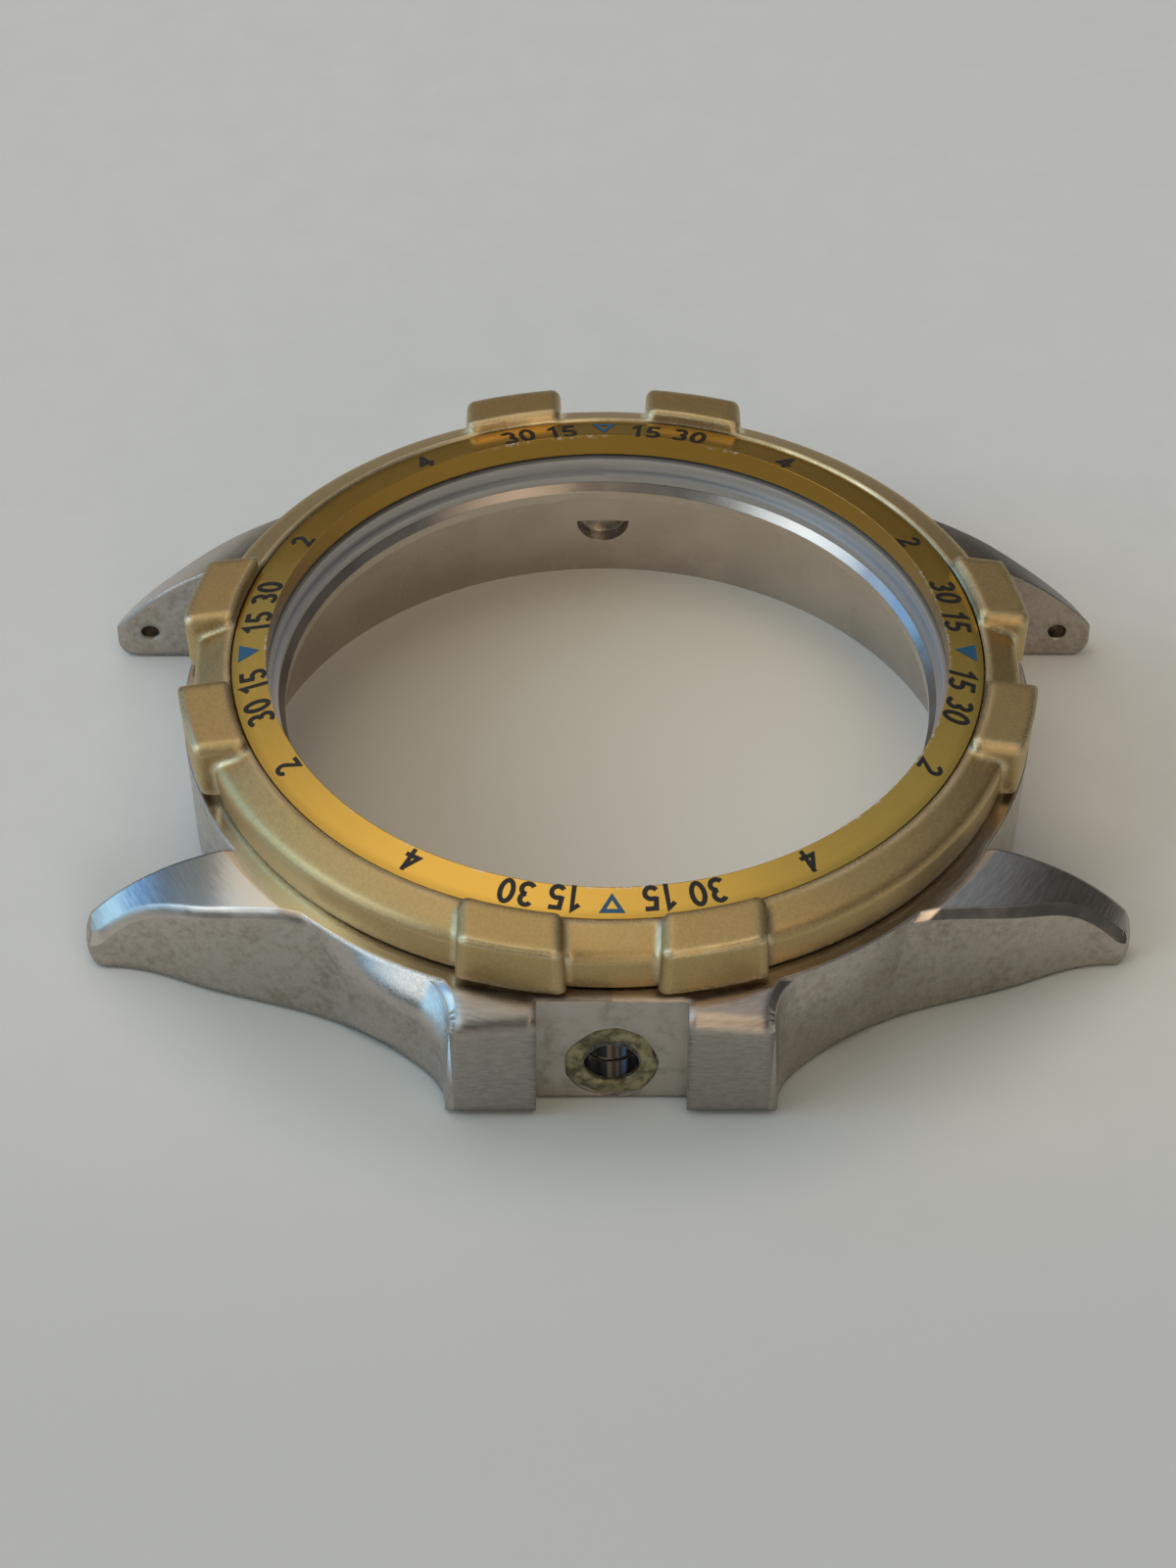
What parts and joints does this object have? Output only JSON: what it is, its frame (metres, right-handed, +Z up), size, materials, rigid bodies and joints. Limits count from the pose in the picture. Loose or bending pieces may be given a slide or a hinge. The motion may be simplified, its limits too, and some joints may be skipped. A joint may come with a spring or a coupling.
{
  "type": "watch case",
  "caption": "Empty round watch case with curved lugs, crown guards, a stepped crystal seat and a turning bezel with raised riders and a sloping printed ring.",
  "frame": {"origin": "centre of the case back opening, in the plane of the back rim that the case rests on", "axes": "+Z up out of the dial side, +X to the crown (three o'clock), +Y to twelve o'clock"},
  "size_m": [0.041, 0.048, 0.0095],
  "materials": {
    "case_steel": "circular brushed top, satin flanks, polished edges",
    "tube_steel": "machined",
    "braze": "dull, stained",
    "seal_rubber": "matte",
    "crystal_seal": "satin",
    "bezel_gold": "bead-blasted satin gold",
    "insert_gold": "satin gold with dark print",
    "adhesive": "matte",
    "spring_steel": "drawn wire",
    "ball_steel": "polished"
  },
  "bodies": {
    "case": {"midcase": "case_steel", "crown_tube": "tube_steel", "crown_tube_braze": "braze", "crown_tube_seal": "seal_rubber", "crystal_seal": "crystal_seal", "back_seal": "seal_rubber", "click_spring_1": "spring_steel", "click_spring_2": "spring_steel", "click_spring_3": "spring_steel", "click_spring_4": "spring_steel"},
    "bezel": {"bezel_ring": "bezel_gold", "bezel_insert": "insert_gold", "insert_adhesive": "adhesive", "bezel_retaining_wire": "spring_steel", "bezel_seal": "seal_rubber"},
    "ball_1": {"click_ball_1": "ball_steel"},
    "ball_2": {"click_ball_2": "ball_steel"},
    "ball_3": {"click_ball_3": "ball_steel"},
    "ball_4": {"click_ball_4": "ball_steel"}
  },
  "joints": [
    {"name": "bezel_turn", "type": "hinge", "parent": "case", "child": "bezel", "pos_m": [0, 0, 0.0068], "axis": [0, 0, 1], "continuous": true},
    {"name": "click_ball_1_press", "type": "slide", "parent": "case", "child": "ball_1", "axis": [0, 0, -1], "range_m": [0, 0.0002], "stiffness_N_per_m": 200, "deforming": ["click_spring_1"]},
    {"name": "click_ball_2_press", "type": "slide", "parent": "case", "child": "ball_2", "axis": [0, 0, -1], "range_m": [0, 0.0002], "stiffness_N_per_m": 200, "deforming": ["click_spring_2"]},
    {"name": "click_ball_3_press", "type": "slide", "parent": "case", "child": "ball_3", "axis": [0, 0, -1], "range_m": [0, 0.0002], "stiffness_N_per_m": 200, "deforming": ["click_spring_3"]},
    {"name": "click_ball_4_press", "type": "slide", "parent": "case", "child": "ball_4", "axis": [0, 0, -1], "range_m": [0, 0.0002], "stiffness_N_per_m": 200, "deforming": ["click_spring_4"]}
  ]
}
